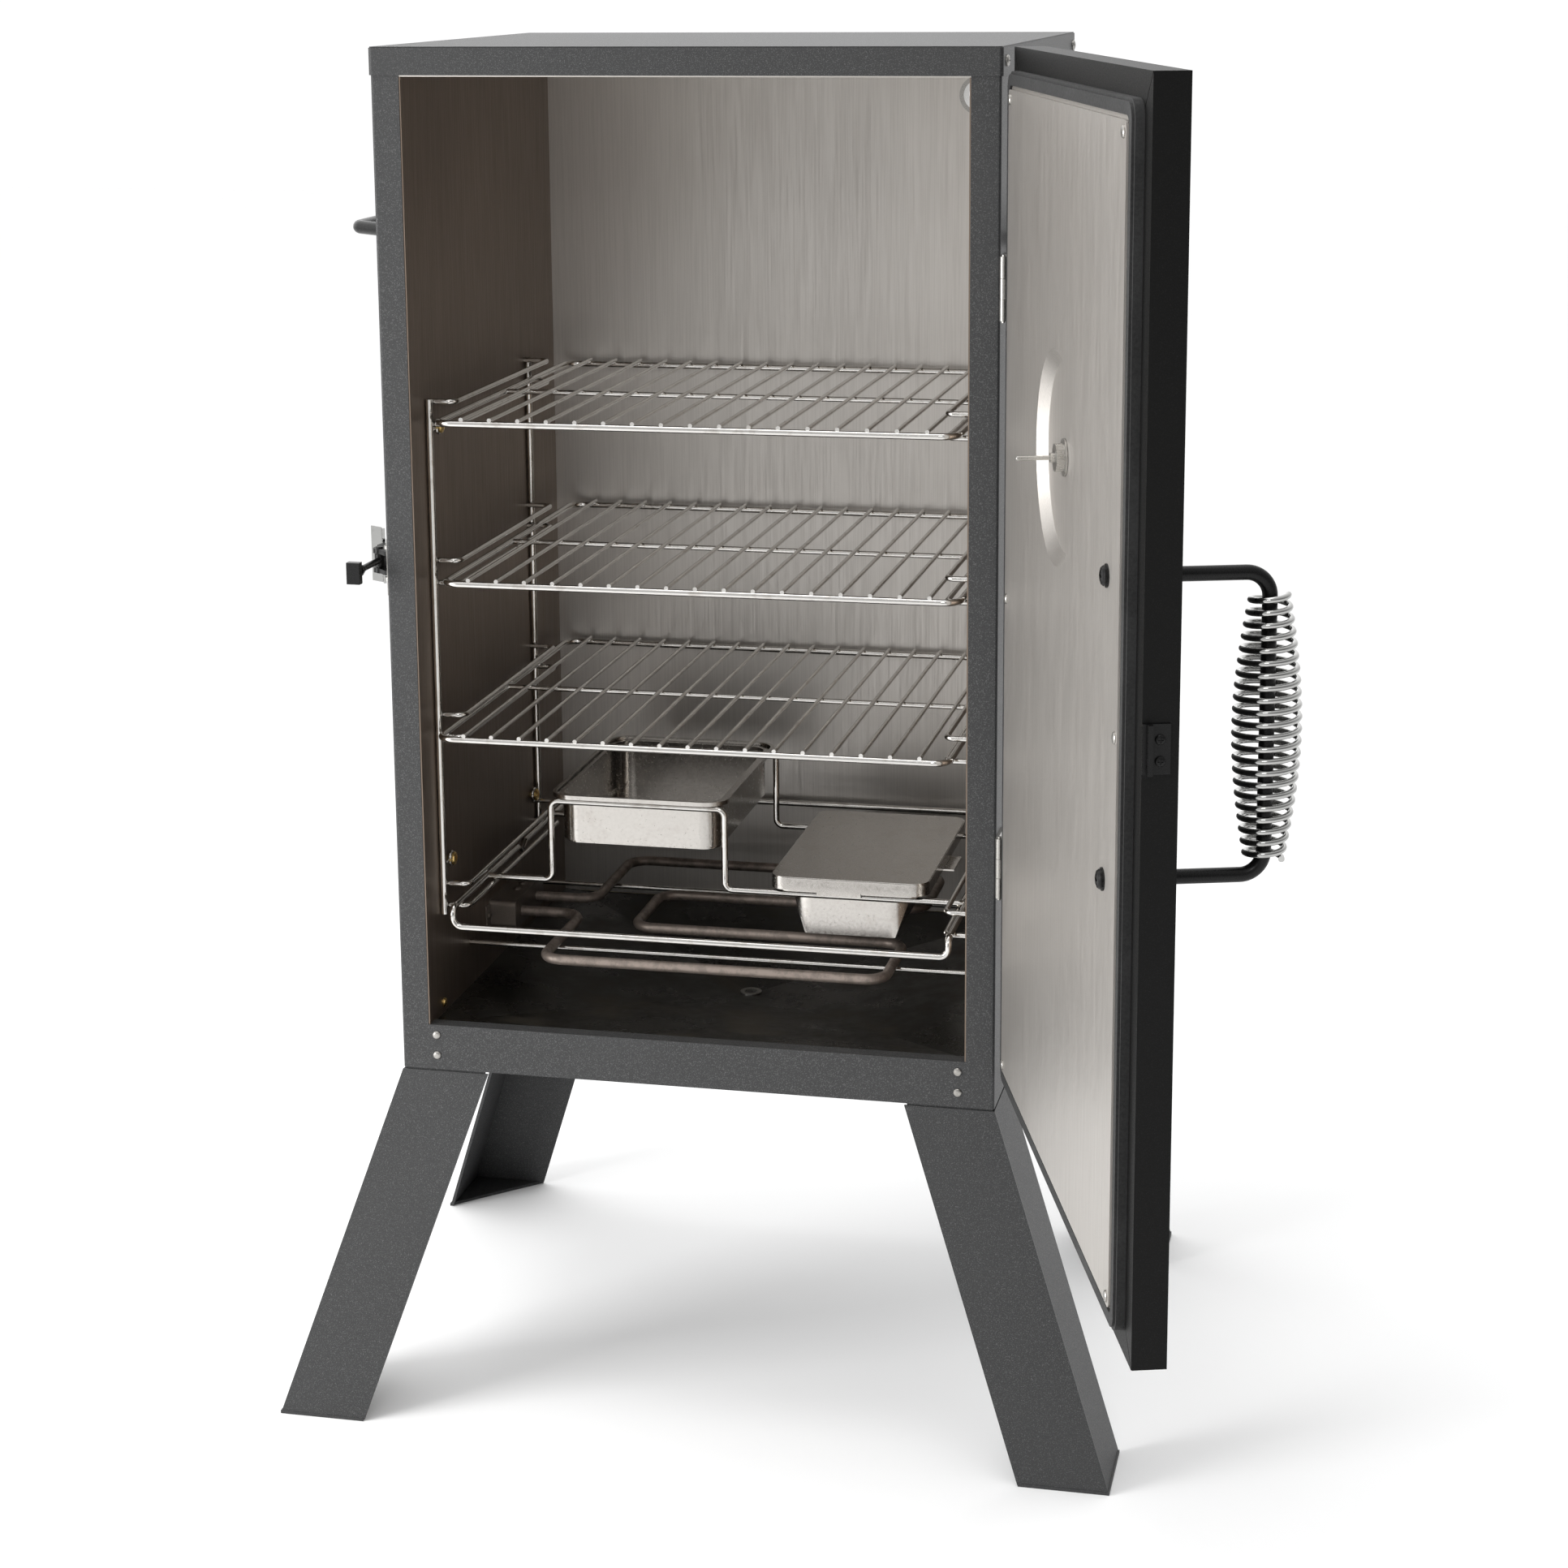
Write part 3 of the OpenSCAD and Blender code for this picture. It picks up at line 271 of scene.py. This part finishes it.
def make_looks():
    looks = {
        "body_paint": enamel("body_paint", (0.039, 0.0395, 0.040), (0.125, 0.125, 0.125)),
        "door_paint": enamel("door_paint", (0.0035, 0.0035, 0.0033), (0.010, 0.010, 0.010), 0.45,
                             gloss=0.14),
        "black_steel": enamel("black_steel", (0.006, 0.006, 0.006), (0.016, 0.016, 0.016), 0.28),
        "liner_steel": brushed("liner_steel", (0.53, 0.505, 0.475), (0.38, 0.34, 0.295), rough=0.42),
        # Side walls: the same stainless sheet as the back liner, given a darker, browner base colour;
        # this is painted shade and painted reflection, not a different metal
        "side_liner": brushed("side_liner", (0.21, 0.165, 0.13), (0.12, 0.09, 0.07), rough=0.4,
                              stained=0.6),
        "floor_enamel": floor_enamel("floor_enamel"),
        "wire_chrome": plated("wire_chrome", (0.60, 0.585, 0.56), (0.33, 0.29, 0.25), 0.14, 0.4),
        "fixing_steel": brushed("fixing_steel", (0.36, 0.35, 0.33), (0.24, 0.22, 0.19), (1, 1, 1),
                                0.3, 0.3),
        "brass": plated("brass", (0.70, 0.50, 0.20), (0.36, 0.24, 0.10), 0.28),
        "element_tube": element_tube("element_tube"),
        "bracket_steel": brushed("bracket_steel", (0.24, 0.21, 0.185), (0.09, 0.075, 0.06),
                                 (1, 1, 1), 0.42, 0.7),
        "black_plastic": moulded("black_plastic", (0.012, 0.012, 0.012), 0.45),
        "tray_steel": plated("tray_steel", (0.46, 0.44, 0.415), (0.36, 0.33, 0.30), 0.2, 0.3),
        "insulation": wool("insulation"),
        "seal": moulded("seal", (0.015, 0.015, 0.015), 0.8, 500),
        # The spring's chrome has a darker base colour than the other chrome: painted dark reflections,
        # the plating itself is brighter
        "bright_chrome": plated("bright_chrome", (0.44, 0.44, 0.43), (0.27, 0.265, 0.255), 0.08, 0.4),
        "dial_white": moulded("dial_white", (0.85, 0.84, 0.80), 0.45, 1200),
        "mark_black": moulded("mark_black", (0.015, 0.015, 0.015), 0.5),
        "needle_red": moulded("needle_red", (0.55, 0.03, 0.02), 0.35),
        "glass": glass("glass"),
    }
    slots = {row["node"]: row["material_slot"] for row in frame["record"]["subparts"]}
    for name, obj in frame["nodes"].items():
        obj.data.materials.clear()
        obj.data.materials.append(looks[slots[name]])
    return looks


# ---------------------------------------------------------------- pieces
def spring_grip(looks):
    """The wire grip round the door handle, as one true helix."""
    low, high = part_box("handle_spring")
    bulge = (high.x - low.x) / 2 - GRIP_WIRE_R - GRIP_END_R
    centre = (low + high) / 2
    height = high.z - low.z - 2 * GRIP_WIRE_R
    curve = bpy.data.curves.new("spring_grip", "CURVE")
    curve.dimensions = "3D"
    curve.bevel_depth = GRIP_WIRE_R
    curve.bevel_resolution = 4
    curve.use_fill_caps = True
    line = curve.splines.new("POLY")
    count = GRIP_TURNS * GRIP_STEPS_PER_TURN
    line.points.add(count)
    for i in range(count + 1):
        t = i / count
        r = GRIP_END_R + bulge * math.sin(math.pi * t)
        a = math.tau * GRIP_TURNS * t
        x, y = centre.x + r * math.cos(a), centre.y + r * math.sin(a)
        line.points[i].co = (x, y, low.z + GRIP_WIRE_R + t * height, 1)
    obj = bpy.data.objects.new("spring_grip", curve)
    bpy.context.scene.collection.objects.link(obj)
    # This chrome look has a darkened base colour: painted dark reflections
    curve.materials.append(looks["bright_chrome"])
    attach(obj, "door")
    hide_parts("handle_spring")


# ---------------------------------------------------------------- stage
def area_light(name, at, target, size, power):
    data = bpy.data.lights.new(name, "AREA")
    data.shape = "RECTANGLE"
    data.size, data.size_y = size
    data.energy = power
    obj = bpy.data.objects.new(name, data)
    obj.location = at
    obj.rotation_mode = "QUATERNION"
    obj.rotation_quaternion = (Vector(target) - Vector(at)).to_track_quat("-Z", "Y")
    bpy.context.scene.collection.objects.link(obj)


def make_world():
    """A white studio: brightest overhead, to the left and behind; plain white where it shows."""
    world = bpy.data.worlds.new("studio")
    world.use_nodes = True
    tree = world.node_tree
    coords = tree.nodes.new("ShaderNodeTexCoord")
    slope = tree.nodes.new("ShaderNodeVectorMath")
    slope.operation = "DOT_PRODUCT"
    slope.inputs[1].default_value = SKY_SLOPE
    level = tree.nodes.new("ShaderNodeMath")
    level.inputs[1].default_value = SKY_LEVEL
    shown = tree.nodes.new("ShaderNodeMix")
    shown.inputs["B"].default_value = SKY_SHOWN
    tree.links.new(coords.outputs["Generated"], slope.inputs[0])
    tree.links.new(slope.outputs["Value"], level.inputs[0])
    tree.links.new(level.outputs["Value"], shown.inputs["A"])
    tree.links.new(tree.nodes.new("ShaderNodeLightPath").outputs["Is Camera Ray"],
                   shown.inputs["Factor"])
    tree.links.new(shown.outputs["Result"], tree.nodes["Background"].inputs["Strength"])
    tree.nodes["Background"].inputs["Color"].default_value = (1, 1, 1, 1)
    bpy.context.scene.world = world


def make_stage():
    half = FLOOR_HALF
    mesh = bpy.data.meshes.new("floor")
    corners = [(-half, -half, 0), (half, -half, 0), (half, half, 0), (-half, half, 0)]
    mesh.from_pydata(corners, [], [(0, 1, 2, 3)])
    floor = bpy.data.objects.new("floor", mesh)
    bpy.context.scene.collection.objects.link(floor)
    m = Look("floor_paper", (0.93, 0.93, 0.93), rough=0.9, Specular_IOR_Level=0.0)
    soft = m.noise(2.5, 3)
    m.tint(m.ramp(soft, 0.4, 0.7), (0.92, 0.92, 0.92), amount=0.5)
    mesh.materials.append(m.mat)
    make_world()
    for name, (at, target, spread, watts) in LAMPS.items():
        area_light(name, at, target, spread, watts)
    bpy.context.scene.view_settings.view_transform = "Standard"


make_camera()
looks = make_looks()
spring_grip(looks)
make_stage()
